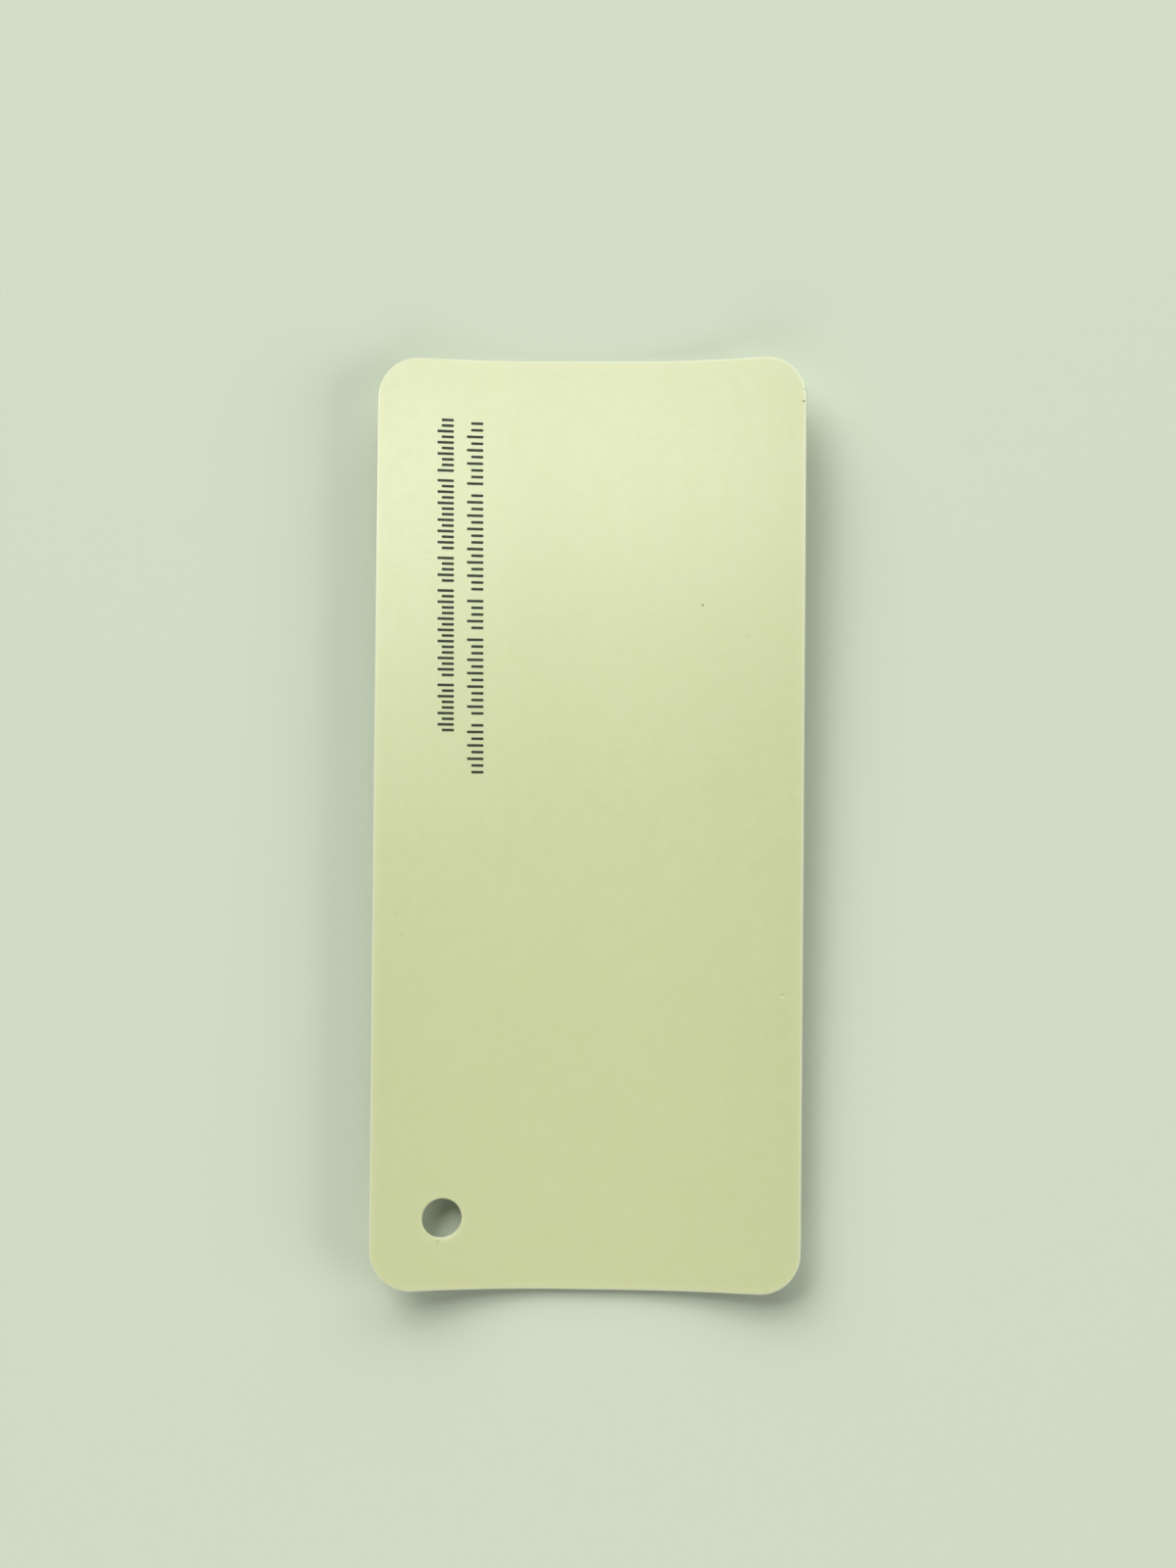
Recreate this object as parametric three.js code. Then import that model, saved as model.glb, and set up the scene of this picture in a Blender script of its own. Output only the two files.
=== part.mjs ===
// A colour sample card: one thin sheet with rounded corners and a round punched hole.
//
// The sheet has taken a lasting curl across its width, so its two long sides stand up a
// little. It lies with the shown face up, on a narrow flat strip along its middle.
// Units are millimetres. +X runs across the card, +Y along it, and +Z is up. The origin is
// the middle of the strip that it rests on.

import * as THREE from 'three';

// The sheet before it curled
const CARD_WIDTH = 65;
const CARD_LENGTH = 140;
const CARD_THICKNESS = 0.8;
const CORNER_RADIUS = 6.5;

// The hole, punched near the lower left corner
const HOLE_DIAMETER = 6;
const HOLE_INSET = 10.8;

// The curl: a round bend that is tighter at the top end, with a slight twist
const REST_STRIP_WIDTH = 8;
const BEND_RADIUS_MIDDLE = 106;
const BEND_RADIUS_TOP = 92;
const TWIST_LIFT = 0.7;

// How finely the sheet is divided
const CORNER_STEPS = 7;
const HOLE_STEPS = 16;
const COLUMN_SPACING = 3;
const ROW_SPACING = 11;

// The finish of the shown face
const CARD_COLOUR = 0xd9e2b0;
const CARD_ROUGHNESS = 0.62;

const halfWidth = CARD_WIDTH / 2;
const halfLength = CARD_LENGTH / 2;
const halfStrip = REST_STRIP_WIDTH / 2;
const curledWidth = halfWidth - halfStrip;
const holeRadius = HOLE_DIAMETER / 2;
const holeAcross = HOLE_INSET - halfWidth;
const holeAlong = HOLE_INSET - halfLength;
const middleCurvature = 1 / BEND_RADIUS_MIDDLE;
const addedCurvature = 1 / BEND_RADIUS_TOP - middleCurvature;

// A point of the curled sheet. across and along are measured on the flat sheet, and height
// goes from 0 on the underside to the thickness on the shown face.
function curledPoint(across, along, height) {
  const towardsTop = along / halfLength;
  const curvature = middleCurvature + addedCurvature * towardsTop;
  const onStrip = THREE.MathUtils.clamp(across, -halfStrip, halfStrip);
  const beyondStrip = across - onStrip;
  const bend = beyondStrip * curvature;
  const lift = (1 - Math.cos(bend)) / curvature;
  const towardsSide = beyondStrip / curledWidth;
  const twist = TWIST_LIFT * towardsSide * Math.abs(towardsSide) * towardsTop;
  return new THREE.Vector3(
    onStrip + Math.sin(bend) / curvature - height * Math.sin(bend),
    along,
    lift + twist + height * Math.cos(bend),
  );
}

// Half the length of the sheet at a distance from its middle line, with the corners round
function outlineReach(across) {
  const intoCorner = Math.abs(across) - (halfWidth - CORNER_RADIUS);
  if (intoCorner <= 0) return halfLength;
  const rise = Math.sqrt(Math.max(0, CORNER_RADIUS ** 2 - intoCorner ** 2));
  return halfLength - CORNER_RADIUS + rise;
}

// Half the length of the hole at a distance across the sheet
function holeReach(across) {
  const fromCentre = across - holeAcross;
  return Math.sqrt(Math.max(0, holeRadius ** 2 - fromCentre ** 2));
}

// Where the columns stand: steps round each corner and round the hole, the two sides of the
// strip, and even steps in between
function columnPlaces() {
  const places = [-halfStrip, halfStrip];
  for (let step = 0; step <= CORNER_STEPS; step += 1) {
    const angle = (Math.PI / 2) * (step / CORNER_STEPS);
    const edge = halfWidth - CORNER_RADIUS * (1 - Math.cos(angle));
    places.push(-edge, edge);
  }
  for (let step = 0; step <= HOLE_STEPS; step += 1) {
    places.push(holeAcross - holeRadius * Math.cos(Math.PI * (step / HOLE_STEPS)));
  }
  places.sort((one, other) => one - other);
  const withSteps = [places[0]];
  for (const place of places.slice(1)) {
    const last = withSteps[withSteps.length - 1];
    const gap = place - last;
    const overStrip = place === halfStrip;
    const parts = overStrip ? 1 : Math.max(1, Math.round(gap / COLUMN_SPACING));
    for (let part = 1; part <= parts; part += 1) {
      withSteps.push(last + gap * (part / parts));
    }
  }
  return withSteps;
}

// The heights up one column. A column is cut at the level of the hole's centre. Past the
// hole, its two sides meet there.
function columnLevels(across) {
  const reach = outlineReach(across);
  const gap = holeReach(across);
  const belowSteps = Math.ceil((halfLength + holeAlong) / ROW_SPACING);
  const aboveSteps = Math.ceil((halfLength - holeAlong) / ROW_SPACING);
  const below = [];
  const above = [];
  for (let step = 0; step <= belowSteps; step += 1) {
    below.push(THREE.MathUtils.lerp(-reach, holeAlong - gap, step / belowSteps));
  }
  for (let step = 0; step <= aboveSteps; step += 1) {
    above.push(THREE.MathUtils.lerp(holeAlong + gap, reach, step / aboveSteps));
  }
  return { below, above, open: gap > 0 };
}

// The closed skin of the sheet: two faces, the cut edge all round, and the hole's wall
function sheetGeometry() {
  const positions = [];
  const known = new Map();
  const faces = [];

  function vertex(across, along, height) {
    const key = [across, along, height].map((value) => value.toFixed(6)).join(' ');
    if (!known.has(key)) {
      known.set(key, positions.length / 3);
      positions.push(...curledPoint(across, along, height).toArray());
    }
    return known.get(key);
  }

  function triangle(a, b, c) {
    if (a !== b && b !== c && c !== a) faces.push(a, b, c);
  }

  function quad(a, b, c, d) {
    triangle(a, b, c);
    triangle(a, c, d);
  }

  function patch(left, leftLevels, right, rightLevels) {
    for (let row = 0; row < leftLevels.length - 1; row += 1) {
      for (const height of [0, CARD_THICKNESS]) {
        const nearLeft = vertex(left, leftLevels[row], height);
        const nearRight = vertex(right, rightLevels[row], height);
        const farRight = vertex(right, rightLevels[row + 1], height);
        const farLeft = vertex(left, leftLevels[row + 1], height);
        if (height > 0) quad(nearLeft, nearRight, farRight, farLeft);
        else quad(nearLeft, farLeft, farRight, nearRight);
      }
    }
  }

  function wall(from, fromLevel, to, toLevel) {
    quad(
      vertex(from, fromLevel, 0),
      vertex(to, toLevel, 0),
      vertex(to, toLevel, CARD_THICKNESS),
      vertex(from, fromLevel, CARD_THICKNESS),
    );
  }

  const columns = columnPlaces();
  for (let index = 0; index < columns.length - 1; index += 1) {
    const left = columns[index];
    const right = columns[index + 1];
    const onLeft = columnLevels(left);
    const onRight = columnLevels(right);
    patch(left, onLeft.below, right, onRight.below);
    patch(left, onLeft.above, right, onRight.above);
    wall(left, onLeft.below[0], right, onRight.below[0]);
    wall(right, onRight.above.at(-1), left, onLeft.above.at(-1));
    if (onLeft.open || onRight.open) {
      wall(right, onRight.below.at(-1), left, onLeft.below.at(-1));
      wall(left, onLeft.above[0], right, onRight.above[0]);
    }
  }

  for (const side of [-1, 1]) {
    const across = side * halfWidth;
    const { below, above } = columnLevels(across);
    const levels = [...below, ...above.slice(1)];
    if (side < 0) levels.reverse();
    for (let row = 0; row < levels.length - 1; row += 1) {
      wall(across, levels[row], across, levels[row + 1]);
    }
  }

  const geometry = new THREE.BufferGeometry();
  geometry.setAttribute('position', new THREE.Float32BufferAttribute(positions, 3));
  geometry.setIndex(faces);
  geometry.computeVertexNormals();
  return geometry;
}

function sheetMaterial() {
  return new THREE.MeshStandardMaterial({
    color: CARD_COLOUR,
    roughness: CARD_ROUGHNESS,
    metalness: 0,
  });
}

function sampleCard() {
  const sheet = new THREE.Mesh(sheetGeometry(), sheetMaterial());
  sheet.name = 'card';
  const group = new THREE.Group();
  group.name = 'colour_sample_card';
  group.add(sheet);
  return group;
}

export default sampleCard();
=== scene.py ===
# A colour sample card that lies on a pale floor, seen from straight above.
#
# The card is one thin film-faced sheet with round corners, a punched hole and a lasting
# curl across its width. Two rows of plain strokes are printed near its left side.

import math

import bmesh
import bpy
from mathutils import Matrix, Vector


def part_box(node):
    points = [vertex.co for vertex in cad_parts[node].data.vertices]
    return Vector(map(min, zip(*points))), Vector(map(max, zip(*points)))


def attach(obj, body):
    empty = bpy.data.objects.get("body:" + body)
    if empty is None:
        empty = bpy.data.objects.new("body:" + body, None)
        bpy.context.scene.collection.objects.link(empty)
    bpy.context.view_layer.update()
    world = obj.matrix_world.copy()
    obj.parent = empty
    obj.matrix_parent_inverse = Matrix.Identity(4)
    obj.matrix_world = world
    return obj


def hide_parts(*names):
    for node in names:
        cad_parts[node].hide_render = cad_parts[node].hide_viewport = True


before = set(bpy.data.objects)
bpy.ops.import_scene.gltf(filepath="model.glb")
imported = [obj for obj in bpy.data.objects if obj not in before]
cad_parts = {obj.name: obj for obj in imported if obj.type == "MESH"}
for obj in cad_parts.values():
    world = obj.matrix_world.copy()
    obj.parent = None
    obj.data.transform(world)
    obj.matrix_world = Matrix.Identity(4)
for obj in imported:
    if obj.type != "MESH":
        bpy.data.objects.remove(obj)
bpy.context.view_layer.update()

MM = 0.001

# The sheet before it curled. Its length is the solid's.
card_low, card_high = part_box("card")
CARD_LENGTH = card_high[1] - card_low[1]
CARD_WIDTH = 65 * MM
CARD_THICKNESS = 0.8 * MM
CORNER_RADIUS = 6.5 * MM
HOLE_RADIUS = 3 * MM
HOLE_INSET = 10.8 * MM
HALF_WIDTH = CARD_WIDTH / 2
HALF_LENGTH = CARD_LENGTH / 2
HOLE_CENTRE = Vector((HOLE_INSET - HALF_WIDTH, HOLE_INSET - HALF_LENGTH))

# The curl: a round bend beyond a flat strip, tighter at the top end, with a slight twist
REST_STRIP_WIDTH = 8 * MM
BEND_RADIUS_MIDDLE = 106 * MM
BEND_RADIUS_TOP = 92 * MM
TWIST_LIFT = 0.7 * MM

# The cut edge: the cutter pressed a narrow margin of the face down a little, and the corner
# between the face and the cut is rolled over, less so at the hole
MARGIN_WIDTH = 0.35 * MM
MARGIN_DROP = 0.012 * MM
EDGE_ROLL = 0.045 * MM
HOLE_ROLL = 0.015 * MM
FILM_THICKNESS = 0.12 * MM
HOLE_WEAR_AND_HIGHLIGHT_OFFSET = 0.26 * MM

# How finely the sheet and the strokes are divided, and up to which angle between two faces,
# in degrees, they are shaded as one
CORNER_SEGMENTS = 18
HOLE_SEGMENTS = 96
ROLL_SEGMENTS = 3
ACROSS_STEP = 1.25 * MM
ALONG_STEP = 2.5 * MM
DENT_REACHES = (2.2 * MM, 1.1 * MM)
DENT_CUTS = 3
STROKE_SEGMENTS = 3
STROKE_PARTS = 4
LEVEL_TOLERANCE = 0.001 * MM
CARD_SMOOTH_ANGLE = 50
INK_SMOOTH_ANGLE = 30

# Small marks, each with its place on the flat sheet, across and along, and its half width
# and half length
SPECK = (17.1 * MM, 33.15 * MM, 0.18 * MM, 0.3 * MM)
EDGE_DOT = (32.15 * MM, 62.95 * MM, 0.2 * MM, 0.2 * MM)
EDGE_DOT_FAINT = (32.3 * MM, 64.7 * MM, 0.26 * MM, 0.17 * MM)
FAINT_SPECKS = (
    (24.1 * MM, 28.57 * MM, 0.25 * MM, 0.2 * MM),
    (-29.0 * MM, -13.56 * MM, 0.25 * MM, 0.3 * MM),
    (-28.23 * MM, -16.64 * MM, 0.2 * MM, 0.3 * MM),
)
DENT = (29.55 * MM, -25.2 * MM, 0.55 * MM, 0.28 * MM)
DENT_DEPTH = 0.045 * MM
BURR = (-21.85 * MM, -61.95 * MM, 0.5 * MM, 0.5 * MM)
BURR_REACH = 0.16 * MM
BURR_RISE = 0.3
BURR_SMUDGE = (-22.3 * MM, -62.62 * MM, 0.4 * MM, 0.32 * MM)
# A pale patch on the hole's lower rim, by the burr: a painted highlight
BURR_PAINTED_HIGHLIGHT = (-21.4 * MM, -62.4 * MM, 1.0 * MM, 0.3 * MM)

# The two printed rows, which run along the card. The strokes of a row stand on its base
# line and point to the left side. Each row is a few groups of strokes.
ROW_BASES = (-20.7 * MM, -16.22 * MM)
ROW_ENDS = ((13.9 * MM, 61.0 * MM), (7.6 * MM, 60.6 * MM))
ROW_GROUPS = ((9, 16, 5, 13, 10), (8, 12, 5, 15, 10))
ROW_SLANT = -0.009
ROW_MIDDLE = 35 * MM
TALL_STROKE = 2.5 * MM
SHORT_STROKE = 1.85 * MM
STROKE_WIDTH = 0.4 * MM
STROKE_ROUND = 0.12 * MM
STROKE_PITCH = 0.95 * MM
GROUP_GAP = 1.7 * MM
INK_ABOVE = 0.012 * MM
INK_BELOW = 0.05 * MM

# The view, fitted to the photo's frame of 1200 by 1600
FRAME_HEIGHT = 1600
FOCAL_PIXELS = 1622.4
SENSOR = 36
NEAREST_SEEN = 10 * MM
CAMERA_PLACE = Vector((4.955 * MM, 4.434 * MM, 240.809 * MM))
CAMERA_TILT = (0.409, 1.206, 0.421)

# Colours, in linear values, and the finish of the film
FILM = (0.600, 0.653, 0.356, 1)
FILM_PALE = (0.640, 0.690, 0.400, 1)
FILM_DEEP = (0.600, 0.650, 0.335, 1)
# A paler tone for the first mm or two in from every cut edge: a painted highlight along the
# edges
FILM_PAINTED_EDGE_HIGHLIGHT = (0.670, 0.700, 0.385, 1)
# The rubbed rim at the cut edges, also used as the tone of the painted highlight by the burr
FILM_WORN_AND_HIGHLIGHT = (0.700, 0.740, 0.520, 1)
CORE = (0.380, 0.400, 0.280, 1)
BACK = (0.740, 0.755, 0.650, 1)
DIRT = (0.150, 0.165, 0.075, 1)
DARK_DIRT = (0.060, 0.070, 0.025, 1)
INK = (0.016, 0.026, 0.012, 1)
INK_THIN = (0.050, 0.065, 0.030, 1)
FLOOR = (0.620, 0.690, 0.545, 1)
SKY = (0.900, 0.930, 0.880, 1)
FILM_ROUGHNESS = (0.28, 0.36)
FILM_INDEX = 1.75

# The floor and the light. LOW_PANEL is the angle from straight up, in degrees, from which
# a panel counts as a low one.
FLOOR_SIZE = 4
SKY_STRENGTH = 0.02
LOW_PANEL = 45


def deselect():
    bpy.ops.object.select_all(action="DESELECT")


def make_active(piece):
    deselect()
    piece.select_set(True)
    bpy.context.view_layer.objects.active = piece


def edit(piece):
    make_active(piece)
    bpy.ops.object.mode_set(mode="EDIT")
    bpy.ops.mesh.select_all(action="SELECT")


def stop_editing():
    bpy.ops.object.mode_set(mode="OBJECT")


def select_faces(piece, wanted):
    """Selects, in edit mode, the faces that wanted(face) is true for."""
    bpy.ops.mesh.select_all(action="DESELECT")
    bpy.ops.mesh.select_mode(type="FACE")
    mesh = bmesh.from_edit_mesh(piece.data)
    for face in mesh.faces:
        face.select = wanted(face)
    mesh.select_flush_mode()
    bmesh.update_edit_mesh(piece.data)


def select_edges(piece, wanted):
    """Selects, in edit mode, the edges that wanted(edge) is true for."""
    bpy.ops.mesh.select_all(action="DESELECT")
    bpy.ops.mesh.select_mode(type="EDGE")
    mesh = bmesh.from_edit_mesh(piece.data)
    for line in mesh.edges:
        line.select = wanted(line)
    mesh.select_flush_mode()
    bmesh.update_edit_mesh(piece.data)


def raise_to(height):
    """Gives the flat face being edited a thickness, from its own level up."""
    bpy.ops.mesh.extrude_region_move(TRANSFORM_OT_translate={"value": (0, 0, height)})
    bpy.ops.mesh.select_all(action="SELECT")
    bpy.ops.mesh.normals_make_consistent(inside=False)


def apply_modifier(piece, kind, name, **settings):
    make_active(piece)
    modifier = piece.modifiers.new(name, kind)
    for key, value in settings.items():
        setattr(modifier, key, value)
    bpy.ops.object.modifier_apply(modifier=modifier.name)


def shade(piece, degrees):
    make_active(piece)
    bpy.ops.object.shade_smooth_by_angle(angle=math.radians(degrees))


def curled(across, along, height):
    """The place on the curled card of a point of the flat sheet. height is over the back."""
    towards_top = along / HALF_LENGTH
    middle = 1 / BEND_RADIUS_MIDDLE
    curvature = middle + (1 / BEND_RADIUS_TOP - middle) * towards_top
    half_strip = REST_STRIP_WIDTH / 2
    on_strip = max(-half_strip, min(half_strip, across))
    beyond = across - on_strip
    bend = beyond * curvature
    lift = (1 - math.cos(bend)) / curvature
    towards_side = beyond / (HALF_WIDTH - half_strip)
    twist = TWIST_LIFT * towards_side * abs(towards_side) * towards_top
    return Vector((
        on_strip + math.sin(bend) / curvature - height * math.sin(bend),
        along,
        lift + twist + height * math.cos(bend),
    ))


def curl(piece):
    for corner in piece.data.vertices:
        corner.co = curled(*corner.co)
    piece.data.update()


def edge_distance(across, along):
    """How far a point of the flat sheet is from the nearest cut edge. The hole's edge is less
    worn and gets less of the painted edge highlight, so it counts as a little farther off."""
    from_side = HALF_WIDTH - abs(across)
    from_end = HALF_LENGTH - abs(along)
    if from_side < CORNER_RADIUS and from_end < CORNER_RADIUS:
        corner = Vector((CORNER_RADIUS - from_side, CORNER_RADIUS - from_end))
        outer = CORNER_RADIUS - corner.length
    else:
        outer = min(from_side, from_end)
    hole = (Vector((across, along)) - HOLE_CENTRE).length - HOLE_RADIUS + HOLE_WEAR_AND_HIGHLIGHT_OFFSET
    return max(0, min(outer, hole))


def how_near(point, mark):
    """1 in the middle of a mark and 0 at its rim and beyond."""
    across, along, half_width, half_length = mark
    off = Vector(((point.x - across) / half_width, (point.y - along) / half_length))
    return max(0, 1 - off.length_squared) ** 2


def flat_sheet():
    """The flat sheet: a plane with round corners and a thickness, with the margin of its
    face pressed down."""
    deselect()
    bpy.ops.mesh.primitive_plane_add(size=1)
    sheet = bpy.context.object
    sheet.name = "sample_card"
    edit(sheet)
    bpy.ops.transform.resize(value=(CARD_WIDTH, CARD_LENGTH, 1))
    bpy.ops.mesh.bevel(
        offset=CORNER_RADIUS, segments=CORNER_SEGMENTS, affect="VERTICES", clamp_overlap=False
    )
    bpy.ops.mesh.select_all(action="SELECT")
    raise_to(CARD_THICKNESS - MARGIN_DROP)
    select_faces(sheet, lambda face: face.normal.z > 0.5)
    bpy.ops.mesh.inset(thickness=MARGIN_WIDTH, depth=MARGIN_DROP)
    stop_editing()
    return sheet


def at_rim(line, level):
    """True for an edge at this height between a face of the sheet and its cut side."""
    if any(abs(corner.co.z - level) > LEVEL_TOLERANCE for corner in line.verts):
        return False
    upright = [abs(face.normal.z) < 0.5 for face in line.link_faces]
    return any(upright) and not all(upright)


def roll_edges(sheet):
    """Rounds the corners between the two faces and the cut side."""
    edit(sheet)
    for level in (CARD_THICKNESS - MARGIN_DROP, 0):
        select_edges(sheet, lambda line: at_rim(line, level))
        bpy.ops.mesh.bevel(
            offset=EDGE_ROLL, segments=ROLL_SEGMENTS, affect="EDGES", clamp_overlap=False
        )
    stop_editing()


def divide(sheet):
    """Cuts the sheet across and along in even steps, so that it can take its curl."""
    edit(sheet)
    for size, step, normal in (
        (CARD_WIDTH, ACROSS_STEP, Vector((1, 0, 0))),
        (CARD_LENGTH, ALONG_STEP, Vector((0, 1, 0))),
    ):
        cuts = round(size / step)
        for cut in range(1, cuts):
            place = normal * (size * (cut / cuts - 0.5))
            bpy.ops.mesh.select_all(action="SELECT")
            bpy.ops.mesh.bisect(plane_co=place, plane_no=normal)
    stop_editing()


def punch_profile():
    """Radius and height, from below upwards, of the cutter. Its flares leave the hole
    rolled corners and the same pressed margin as the outer edge. The wide flare rises as
    far over the face as the margin lies below it, so it is twice as wide."""
    pressed = CARD_THICKNESS - MARGIN_DROP
    slope_width = 2 * (MARGIN_WIDTH - HOLE_ROLL)
    profile = [
        (HOLE_RADIUS + 2 * HOLE_ROLL, -CARD_THICKNESS),
        (HOLE_RADIUS + 2 * HOLE_ROLL, -HOLE_ROLL),
        (HOLE_RADIUS, HOLE_ROLL),
    ]
    for step in range(ROLL_SEGMENTS + 1):
        angle = math.pi / 2 * step / ROLL_SEGMENTS
        profile.append((
            HOLE_RADIUS + HOLE_ROLL * (1 - math.cos(angle)),
            pressed - HOLE_ROLL * (1 - math.sin(angle)),
        ))
    profile.append((HOLE_RADIUS + HOLE_ROLL + slope_width, CARD_THICKNESS + MARGIN_DROP))
    profile.append((HOLE_RADIUS + HOLE_ROLL + slope_width, 2 * CARD_THICKNESS))
    return profile


def punch_hole(sheet):
    """Cuts the round hole with a flared cutter, made from a circle raised ring by ring."""
    deselect()
    (radius, height), *rings = punch_profile()
    bpy.ops.mesh.primitive_circle_add(
        vertices=HOLE_SEGMENTS, radius=radius, fill_type="NGON", location=(0, 0, height)
    )
    cutter = bpy.context.object
    edit(cutter)
    for next_radius, next_height in rings:
        bpy.ops.mesh.extrude_region_move(
            TRANSFORM_OT_translate={"value": (0, 0, next_height - height)}
        )
        spread = next_radius / radius
        bpy.ops.transform.resize(value=(spread, spread, 1), center_override=(0, 0, next_height))
        radius, height = next_radius, next_height
    bpy.ops.mesh.select_all(action="SELECT")
    bpy.ops.transform.translate(value=(HOLE_CENTRE.x, HOLE_CENTRE.y, 0))
    bpy.ops.mesh.normals_make_consistent(inside=False)
    stop_editing()
    apply_modifier(sheet, "BOOLEAN", "hole", operation="DIFFERENCE", object=cutter)
    bpy.data.objects.remove(cutter, do_unlink=True)


def press_dent(sheet):
    """Presses a small dent into the face, which is divided finely there first."""
    middle = Vector((DENT[0], DENT[1], CARD_THICKNESS))
    edit(sheet)
    for reach in DENT_REACHES:
        select_faces(sheet, lambda face: face.normal.z > 0.9
                     and (face.calc_center_median() - middle).length < reach)
        bpy.ops.mesh.subdivide(number_cuts=DENT_CUTS)
    stop_editing()
    for corner in sheet.data.vertices:
        if corner.co.z > CARD_THICKNESS - MARGIN_DROP:
            corner.co.z -= DENT_DEPTH * how_near(corner.co, DENT)


def raise_burr(sheet):
    """Pulls the rim of the hole inwards and up a little, where the punch left a burr."""
    for corner in sheet.data.vertices:
        from_rim = (corner.co.xy - HOLE_CENTRE).length - HOLE_RADIUS
        if corner.co.z < CARD_THICKNESS - EDGE_ROLL - MARGIN_DROP or from_rim > EDGE_ROLL * 1.5:
            continue
        pull = BURR_REACH * how_near(corner.co, BURR)
        inwards = (HOLE_CENTRE - corner.co.xy).normalized() * pull
        corner.co += Vector((inwards.x, inwards.y, pull * BURR_RISE))


def keep_flat_measures(sheet):
    """Stores, before the curl, where each point lies on the flat sheet, how far it is below
    the shown face and how far it is from a cut edge."""
    mesh = sheet.data
    depth = mesh.attributes.new("depth", "FLOAT", "POINT")
    inward = mesh.attributes.new("inward", "FLOAT", "POINT")
    flat_map = mesh.uv_layers.new(name="flat")
    for corner in mesh.vertices:
        depth.data[corner.index].value = (CARD_THICKNESS - corner.co.z) / MM
        inward.data[corner.index].value = edge_distance(corner.co.x, corner.co.y) / MM
    for loop in mesh.loops:
        place = mesh.vertices[loop.vertex_index].co
        flat_map.data[loop.index].uv = flat_place(place.x, place.y)


def flat_place(across, along):
    """A place on the flat sheet as the card's own map holds it, from 0 to 1."""
    return across / CARD_LENGTH + 0.5, along / CARD_LENGTH + 0.5


def sample_card():
    sheet = flat_sheet()
    roll_edges(sheet)
    divide(sheet)
    punch_hole(sheet)
    press_dent(sheet)
    raise_burr(sheet)
    keep_flat_measures(sheet)
    curl(sheet)
    shade(sheet, CARD_SMOOTH_ANGLE)
    apply_modifier(sheet, "WEIGHTED_NORMAL", "even_shading", keep_sharp=True)
    sheet.data.materials.append(card_material())
    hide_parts("card")
    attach(sheet, "root")


def ink_stroke(length):
    """One printed stroke: a very thin slab with round ends, let into the face. It lies on
    the middle line of the card and points to the left."""
    deselect()
    bpy.ops.mesh.primitive_plane_add(size=1)
    stroke = bpy.context.object
    edit(stroke)
    bpy.ops.transform.resize(value=(length, STROKE_WIDTH, 1))
    bpy.ops.mesh.bevel(
        offset=STROKE_ROUND, segments=STROKE_SEGMENTS, affect="VERTICES", clamp_overlap=False
    )
    bpy.ops.mesh.select_all(action="SELECT")
    bpy.ops.transform.translate(value=(-length / 2, 0, CARD_THICKNESS - INK_BELOW))
    raise_to(INK_BELOW + INK_ABOVE)
    for part in range(1, STROKE_PARTS):
        bpy.ops.mesh.select_all(action="SELECT")
        bpy.ops.mesh.bisect(plane_co=(-part / STROKE_PARTS * length, 0, 0), plane_no=(1, 0, 0))
    stop_editing()
    return stroke


def stroke_places(base, ends, groups):
    """Where each stroke of one row stands, spread so that the row fills its ends, and
    whether it is a tall one."""
    places = []
    at = 0
    for group in groups:
        for number in range(group):
            places.append((at, (number * 5 + group) % 7 in (0, 3, 4)))
            at += STROKE_PITCH
        at += GROUP_GAP - STROKE_PITCH
    stretch = (ends[1] - ends[0] - STROKE_WIDTH) / places[-1][0]
    for at, tall in places:
        along = ends[0] + STROKE_WIDTH / 2 + at * stretch
        yield base + ROW_SLANT * (along - ROW_MIDDLE), along, tall


def printed_rows():
    tall_stroke = ink_stroke(TALL_STROKE)
    short_stroke = ink_stroke(SHORT_STROKE)
    copies = []
    for base, ends, groups in zip(ROW_BASES, ROW_ENDS, ROW_GROUPS):
        for across, along, tall in stroke_places(base, ends, groups):
            copied = (tall_stroke if tall else short_stroke).copy()
            copied.data = copied.data.copy()
            copied.data.transform(Matrix.Translation((across, along, 0)))
            bpy.context.collection.objects.link(copied)
            copies.append(copied)
    for stroke in (tall_stroke, short_stroke):
        bpy.data.objects.remove(stroke, do_unlink=True)
    make_active(copies[0])
    for copied in copies:
        copied.select_set(True)
    bpy.ops.object.join()
    rows = bpy.context.object
    rows.name = "printed_rows"
    curl(rows)
    shade(rows, INK_SMOOTH_ANGLE)
    rows.data.materials.append(ink_material())
    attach(rows, "root")


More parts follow.
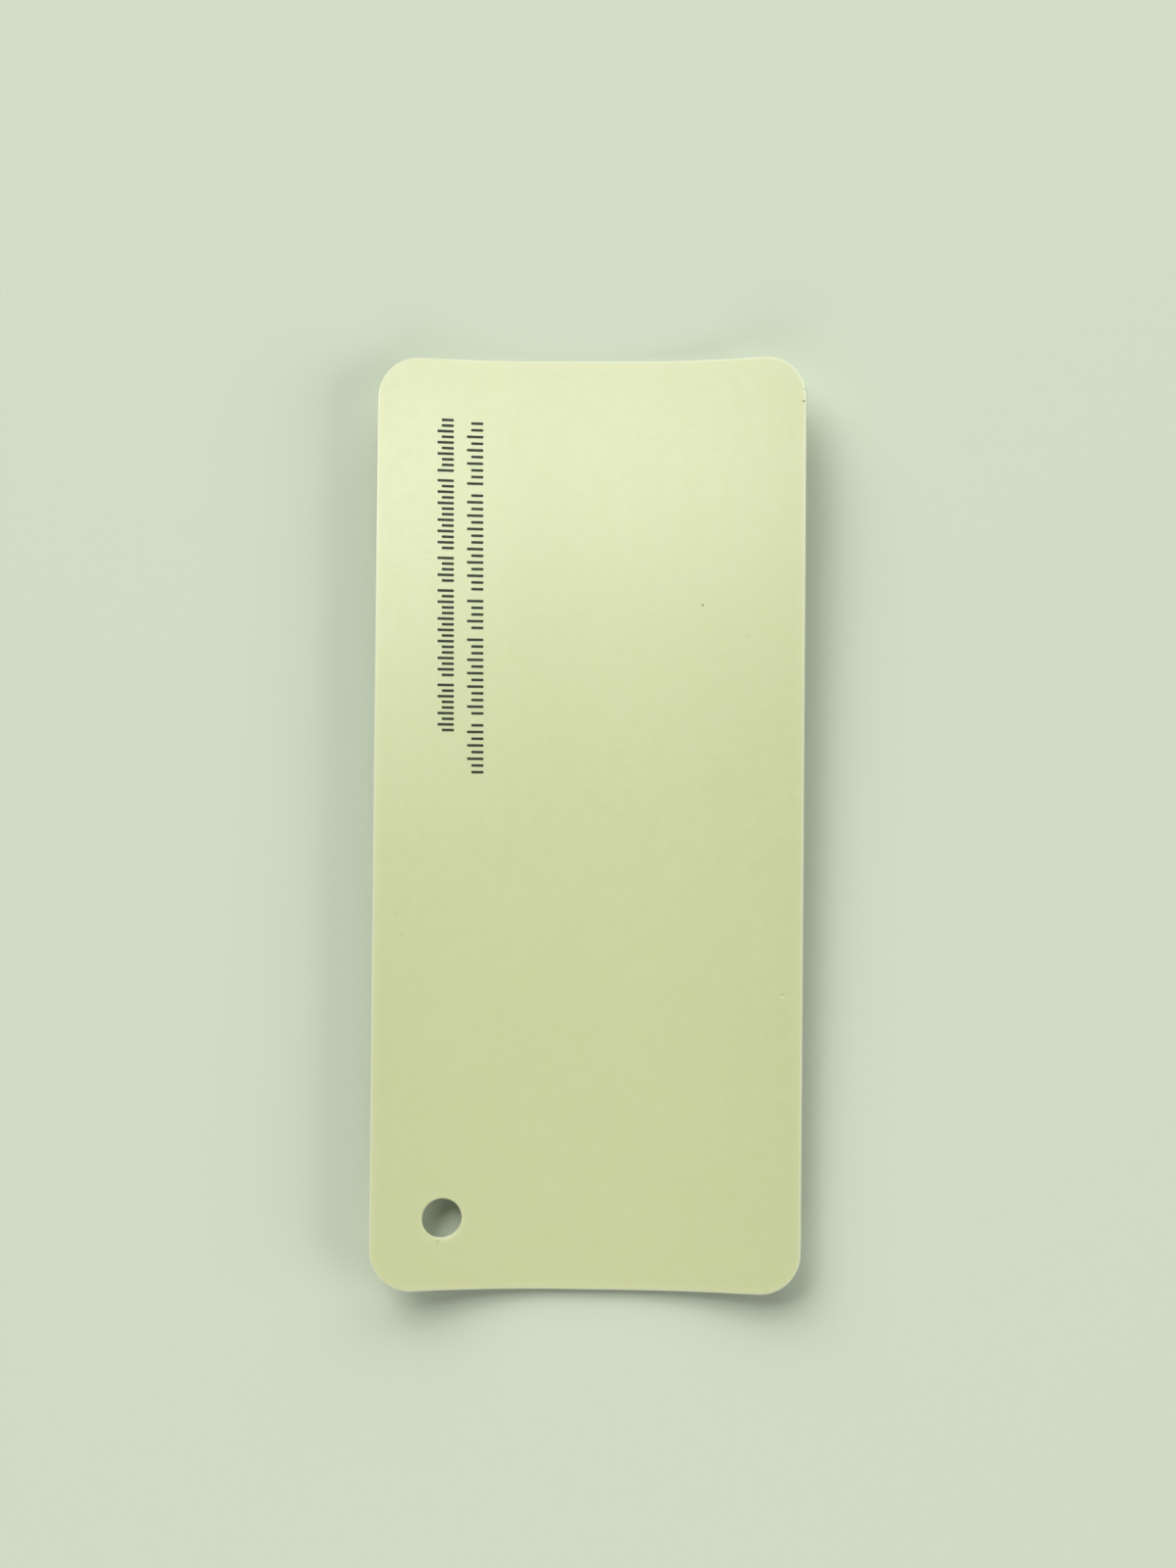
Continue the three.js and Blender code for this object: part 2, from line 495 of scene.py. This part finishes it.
class Nodes:
    """A short way to add and link shader nodes."""

    def __init__(self, name):
        self.material = bpy.data.materials.new(name)
        self.material.use_nodes = True
        self.tree = self.material.node_tree
        self.shader = self.tree.nodes["Principled BSDF"]

    def add(self, kind, inputs=None, **settings):
        node = self.tree.nodes.new("ShaderNode" + kind)
        for key, value in settings.items():
            setattr(node, key, value)
        for key, value in (inputs or {}).items():
            self.feed(node.inputs[key], value)
        return node

    def feed(self, socket, value):
        if isinstance(value, bpy.types.NodeSocket):
            self.tree.links.new(value, socket)
        else:
            socket.default_value = value

    def calc(self, operation, *values):
        node = self.add("Math", operation=operation)
        for place, value in enumerate(values):
            self.feed(node.inputs[place], value)
        return node.outputs[0]

    def ease(self, value, low, high, to_low=0.0, to_high=1.0):
        node = self.add("MapRange", interpolation_type="SMOOTHSTEP")
        for place, given in enumerate((value, low, high, to_low, to_high)):
            self.feed(node.inputs[place], given)
        return node.outputs[0]

    def blend(self, factor, first, second):
        node = self.add("Mix", data_type="RGBA", blend_type="MIX")
        self.feed(node.inputs["Factor"], factor)
        self.feed(node.inputs[6], first)
        self.feed(node.inputs[7], second)
        return node.outputs[2]

    def noise(self, vector, scale, detail=2.0):
        node = self.add("TexNoise", {"Vector": vector, "Scale": scale, "Detail": detail})
        return node.outputs[0]

    def spot(self, mark):
        """1 in the middle of a mark on the flat sheet, falling softly to 0 at its rim."""
        across, along, half_width, half_length = mark
        flat = self.add("UVMap", uv_map="flat").outputs[0]
        middle_x, middle_y = flat_place(across, along)
        off = self.add("VectorMath", {0: flat, 1: (middle_x, middle_y, 0)}, operation="SUBTRACT")
        grow = (CARD_LENGTH / half_width, CARD_LENGTH / half_length, 0)
        grown = self.add("VectorMath", {0: off.outputs[0], 1: grow}, operation="MULTIPLY")
        size = self.add("VectorMath", {0: grown.outputs[0]}, operation="LENGTH")
        return self.ease(size.outputs["Value"], 0.3, 1.15, 1.0, 0.0)


def card_material():
    nodes = Nodes("matte_film")
    place = nodes.add("TexCoord").outputs["Object"]
    depth = nodes.add("Attribute", attribute_name="depth").outputs["Fac"]
    inward = nodes.add("Attribute", attribute_name="inward").outputs["Fac"]

    cloud = nodes.ease(nodes.noise(place, 60, 3.0), 0.3, 0.7, 0.0, 0.25)
    film = nodes.blend(cloud, FILM, FILM_PALE)
    patches = nodes.ease(nodes.noise(place, 330), 0.35, 0.65, 0.0, 0.6)
    film = nodes.blend(patches, film, FILM_DEEP)
    mottle = nodes.ease(nodes.noise(place, 800, 3.0), 0.3, 0.7, 0.0, 0.3)
    film = nodes.blend(mottle, film, FILM_PALE)
    # Paler towards every cut edge, fading out 1.8 mm in: a painted highlight along the edges
    film = nodes.blend(nodes.ease(inward, 0.3, 1.8, 0.4, 0.0), film, FILM_PAINTED_EDGE_HIGHLIGHT)
    worn = nodes.ease(inward, 0.12, 0.42, 0.85, 0.0)
    film = nodes.blend(worn, film, FILM_WORN_AND_HIGHLIGHT)
    # The worn tone laid at half strength on the hole's lower rim: a painted highlight by the
    # burr
    film = nodes.blend(nodes.calc("MULTIPLY", nodes.spot(BURR_PAINTED_HIGHLIGHT), 0.5), film, FILM_WORN_AND_HIGHLIGHT)
    for mark, strength in (
        (SPECK, 0.9), (EDGE_DOT_FAINT, 0.4), (BURR_SMUDGE, 0.2),
        *((speck, 0.18) for speck in FAINT_SPECKS),
    ):
        film = nodes.blend(nodes.calc("MULTIPLY", nodes.spot(mark), strength), film, DIRT)
    film = nodes.blend(nodes.spot(EDGE_DOT), film, DARK_DIRT)

    film_edge = FILM_THICKNESS / MM
    card_edge = CARD_THICKNESS / MM
    side = nodes.blend(nodes.ease(depth, card_edge - film_edge, card_edge - 0.06), CORE, BACK)
    colour = nodes.blend(nodes.ease(depth, film_edge, film_edge + 0.05), film, side)
    nodes.feed(nodes.shader.inputs["Base Color"], colour)

    grain = nodes.noise(place, 2600, 3.0)
    nodes.feed(nodes.shader.inputs["Roughness"], nodes.ease(grain, 0.3, 0.7, *FILM_ROUGHNESS))
    bump = nodes.add("Bump", {"Strength": 0.1, "Distance": 0.01 * MM, "Height": grain})
    nodes.feed(nodes.shader.inputs["Normal"], bump.outputs[0])
    nodes.shader.inputs["IOR"].default_value = FILM_INDEX
    return nodes.material


def ink_material():
    nodes = Nodes("dark_ink")
    place = nodes.add("TexCoord").outputs["Object"]
    cover = nodes.noise(place, 1800, 3.0)
    nodes.feed(nodes.shader.inputs["Base Color"],
               nodes.blend(nodes.ease(cover, 0.35, 0.75, 0.0, 0.6), INK, INK_THIN))
    nodes.feed(nodes.shader.inputs["Roughness"], nodes.ease(cover, 0.3, 0.7, 0.45, 0.6))
    return nodes.material


def floor_material():
    nodes = Nodes("pale_floor")
    nodes.shader.inputs["Base Color"].default_value = FLOOR
    nodes.shader.inputs["Roughness"].default_value = 0.9
    nodes.shader.inputs["Specular IOR Level"].default_value = 0.1
    return nodes.material


def floor():
    deselect()
    bpy.ops.mesh.primitive_plane_add(size=FLOOR_SIZE)
    ground = bpy.context.object
    ground.name = "floor"
    ground.data.materials.append(floor_material())


def soft_light(name, from_above, turned, distance, size, watts):
    """A soft panel aimed at the card. from_above is its angle from straight up, and turned
    is its bearing from the card's top end towards its right, both in degrees. A low
    panel gives light without glare, and a high one gives only a sheen."""
    light = bpy.data.lights.new(name, "AREA")
    light.shape = "RECTANGLE"
    light.size, light.size_y = size
    light.energy = watts
    holder = bpy.data.objects.new(name, light)
    holder.visible_glossy = from_above < LOW_PANEL
    holder.visible_diffuse = from_above >= LOW_PANEL
    bpy.context.collection.objects.link(holder)
    lean, bearing = math.radians(from_above), math.radians(turned)
    towards = Vector((
        math.sin(lean) * math.sin(bearing), math.sin(lean) * math.cos(bearing), math.cos(lean)
    ))
    holder.location = towards * distance
    holder.rotation_euler = towards.to_track_quat("Z", "Y").to_euler()


def studio():
    world = bpy.data.worlds.new("studio")
    world.use_nodes = True
    background = world.node_tree.nodes["Background"]
    background.inputs["Color"].default_value = SKY
    background.inputs["Strength"].default_value = SKY_STRENGTH
    bpy.context.scene.world = world
    soft_light("upper_left", 63, -35, 5, (4, 3), 272)
    soft_light("top_end", 72, 0, 5, (8, 2), 292)
    soft_light("top_middle", 45, 0, 1.2, (0.9, 0.4), 0.98)
    soft_light("right_side", 70, 100, 5, (4, 2), 144)
    soft_light("bottom_end", 65, 180, 1.2, (1.2, 0.5), 4.2)
    soft_light("overhead", 16, 0, 1.2, (0.9, 0.15), 3.4)
    soft_light("overhead_left", 32, -60, 1.2, (0.25, 0.25), 1.05)
    soft_light("overhead_right", 26, 60, 1.2, (0.25, 0.25), 1.15)
    bpy.context.scene.view_settings.view_transform = "Standard"


def camera():
    data = bpy.data.cameras.new("camera")
    data.sensor_width = SENSOR
    data.lens = SENSOR * FOCAL_PIXELS / FRAME_HEIGHT
    data.clip_start = NEAREST_SEEN
    holder = bpy.data.objects.new("camera", data)
    bpy.context.collection.objects.link(holder)
    turn = Matrix.Identity(4)
    for degrees, axis in zip(CAMERA_TILT, "XYZ"):
        turn = turn @ Matrix.Rotation(math.radians(degrees), 4, axis)
    holder.matrix_world = Matrix.Translation(CAMERA_PLACE) @ turn
    bpy.context.scene.camera = holder


camera()
studio()
floor()
sample_card()
printed_rows()
